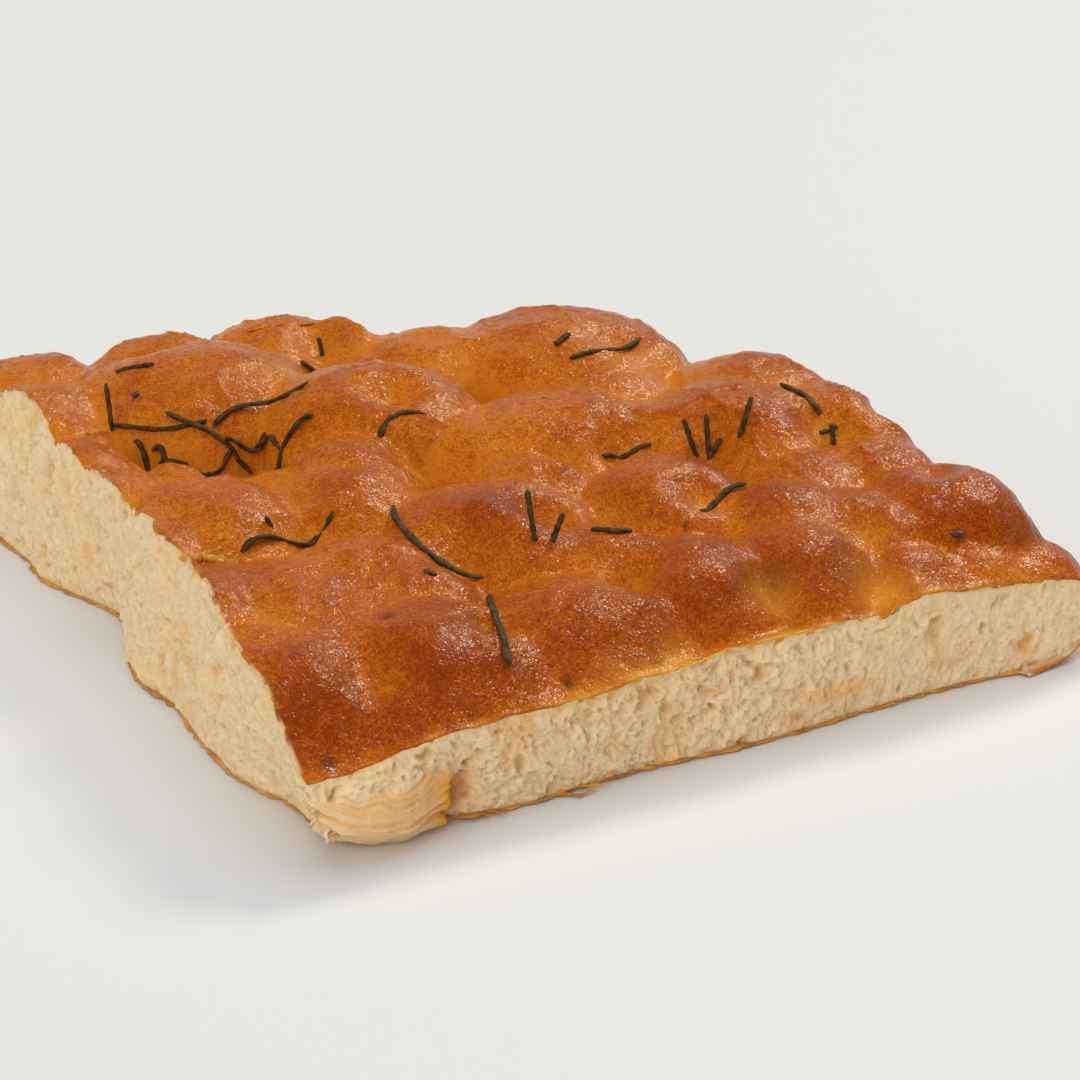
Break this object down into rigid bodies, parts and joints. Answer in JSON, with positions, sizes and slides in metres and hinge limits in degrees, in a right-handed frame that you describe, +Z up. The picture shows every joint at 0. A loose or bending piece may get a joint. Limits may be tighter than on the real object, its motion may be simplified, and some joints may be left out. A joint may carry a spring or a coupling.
{
  "type": "rosemary focaccia corner piece",
  "caption": "Corner piece of rosemary focaccia with a domed golden-brown crust, open crumb on its cut sides and a rounded baked edge.",
  "frame": {"origin": "middle of the loaf's box on the surface that it lies on", "axes": "+Z up, +X along the front cut towards the baked edge, +Y along the left cut towards the far side"},
  "size_m": [0.233, 0.2546, 0.0561],
  "materials": {
    "crust": "baked bread crust, oiled, with a soft uneven sheen",
    "crumb": "open bread crumb, matt and porous",
    "rosemary": "baked rosemary needles, dark olive brown, dry"
  },
  "bodies": {
    "root": {"focaccia": "crust"}
  },
  "joints": []
}
